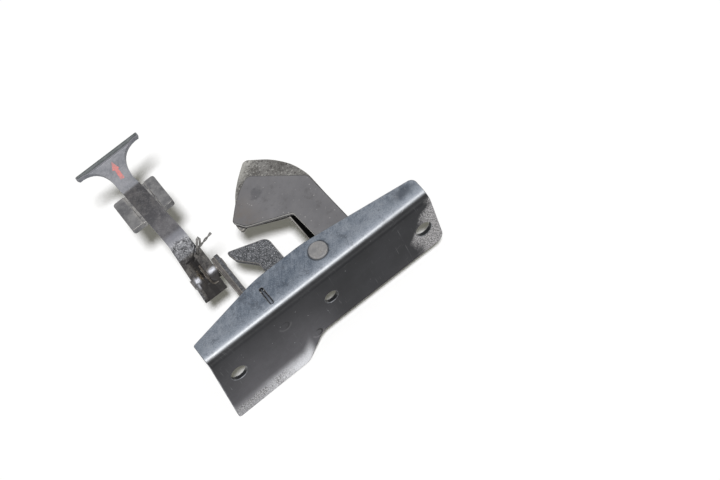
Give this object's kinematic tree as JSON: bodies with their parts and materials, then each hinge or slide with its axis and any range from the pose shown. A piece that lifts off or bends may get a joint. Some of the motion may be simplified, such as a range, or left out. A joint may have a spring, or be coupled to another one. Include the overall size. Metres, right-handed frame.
{
  "type": "bonnet safety latch",
  "caption": "Folded steel bonnet latch bracket with a sprung double hook and claw on a rivet, worked by a hinged T-shaped pull handle.",
  "frame": {"origin": "midway between the two fixing holes, on the front face of the web", "axes": "+X along the bracket's bend, -Y out of the web's front face, +Z out of the flange's top face"},
  "size_m": [0.1151, 0.1041, 0.0653],
  "materials": {
    "black_steel": "satin black coating, dusty at the lower edge",
    "worn_steel": "worn black coating over steel",
    "dusty_steel": "black coating under brown grey dust",
    "dark_steel": "dark coating with light grit",
    "handle_steel": "satin black coating, worn, with a painted red arrow",
    "bare_steel": "dull bare steel",
    "spring_steel": "browned spring wire"
  },
  "bodies": {
    "base": {"bracket": "black_steel", "pivot_rivet": "bare_steel", "pivot_washer": "bare_steel", "return_spring": "spring_steel"},
    "hook": {"hook_front_plate": "worn_steel", "hook_rear_plate": "dusty_steel", "pivot_spacer": "bare_steel", "tie_spacer": "bare_steel", "tie_rivet": "bare_steel", "release_lever": "dark_steel", "hinge_arm": "dusty_steel", "hinge_pin": "bare_steel"},
    "handle": {"pull_handle": "handle_steel", "handle_stop": "worn_steel", "handle_spring": "spring_steel", "lock_wire": "spring_steel"}
  },
  "joints": [
    {"name": "hook_swing", "type": "hinge", "parent": "base", "child": "hook", "pos_m": [0.0074, 0.0108, 0.0125], "axis": [0, 0, 1], "range_deg": [-25, 0], "stiffness_Nm_per_rad": 0.15, "springref_deg": 20.05, "deforming": ["return_spring"]},
    {"name": "handle_flip", "type": "hinge", "parent": "hook", "child": "handle", "pos_m": [-0.0362, 0.0414, 0.011], "axis": [1, 0, 0], "range_deg": [0, 60], "stiffness_Nm_per_rad": 0.03, "springref_deg": -22.92, "deforming": ["handle_spring"]}
  ]
}
